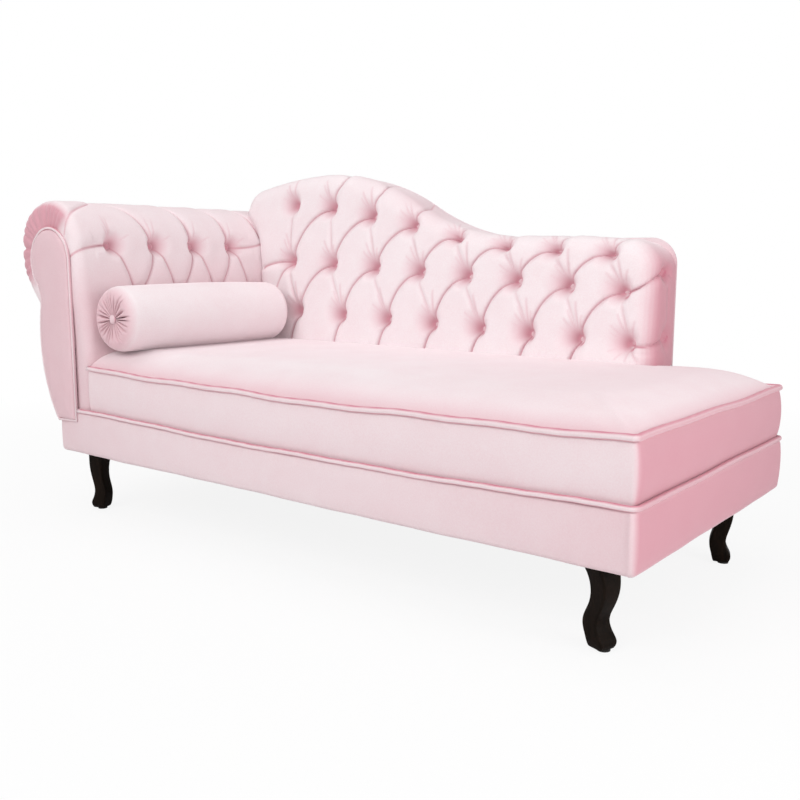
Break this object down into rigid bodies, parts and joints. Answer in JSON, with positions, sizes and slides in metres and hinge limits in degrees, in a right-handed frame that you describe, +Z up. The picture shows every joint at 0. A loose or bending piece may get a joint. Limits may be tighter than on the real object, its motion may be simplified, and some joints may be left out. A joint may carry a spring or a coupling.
{
  "type": "recamier",
  "caption": "Upholstered one-armed chaise with a rolled tufted arm, a serpentine tufted back, a crowned seat, a loose bolster and short shaped wooden legs.",
  "frame": {"origin": "on the floor, in the middle of the overall box", "axes": "+X along the seat from the arm to the foot end, -Y to the front, +Z up"},
  "size_m": [1.936, 0.86, 0.992],
  "materials": {
    "frame_timber": "sawn pine, unfinished",
    "liner_board": "thin bent hardboard",
    "strap": "woven elastic webbing",
    "lining_cloth": "black non-woven lining",
    "foam": "open-cell cushion foam",
    "cover_fabric": "pale pink suede-like upholstery over padding",
    "leg_wood": "dark tobacco stain under satin lacquer",
    "fixing_steel": "zinc-plated steel",
    "glide_plastic": "black nail-on glide"
  },
  "bodies": {
    "recamier": {"arm_bottom_rail": "frame_timber", "arm_buttons": "cover_fabric", "arm_facing": "cover_fabric", "arm_facing_welt": "cover_fabric", "arm_front_stump": "frame_timber", "arm_liner": "liner_board", "arm_outside_panel": "cover_fabric", "arm_pad": "cover_fabric", "arm_rear_panel": "cover_fabric", "arm_rear_stump": "frame_timber", "arm_roll_rail": "frame_timber", "arm_tack_rail": "frame_timber", "back_bottom_rail": "frame_timber", "back_buttons": "cover_fabric", "back_left_post": "frame_timber", "back_liner": "liner_board", "back_middle_posts": "frame_timber", "back_outside_panel": "cover_fabric", "back_pad": "cover_fabric", "back_right_post": "frame_timber", "back_top_rail": "frame_timber", "base_cover": "cover_fabric", "base_welt": "cover_fabric", "dust_cover": "lining_cloth", "leg_blocks": "frame_timber", "leg_bolts": "fixing_steel", "leg_front_left": "leg_wood", "leg_front_right": "leg_wood", "leg_glides": "glide_plastic", "leg_rear_left": "leg_wood", "leg_rear_right": "leg_wood", "leg_tee_nuts": "fixing_steel", "seat_back_rail": "frame_timber", "seat_cover": "cover_fabric", "seat_cross_rails": "frame_timber", "seat_cross_webbing": "strap", "seat_deck_cloth": "lining_cloth", "seat_foam": "foam", "seat_front_rail": "frame_timber", "seat_left_rail": "frame_timber", "seat_long_webbing": "strap", "seat_rear_rail": "frame_timber", "seat_right_rail": "frame_timber", "seat_welt": "cover_fabric"},
    "bolster": {"bolster_cover": "cover_fabric", "bolster_core": "foam", "bolster_buttons": "cover_fabric"}
  },
  "joints": [
    {"name": "bolster_lift", "type": "slide", "parent": "recamier", "child": "bolster", "axis": [0, 0, 1], "range_m": [0, 0.6]}
  ]
}
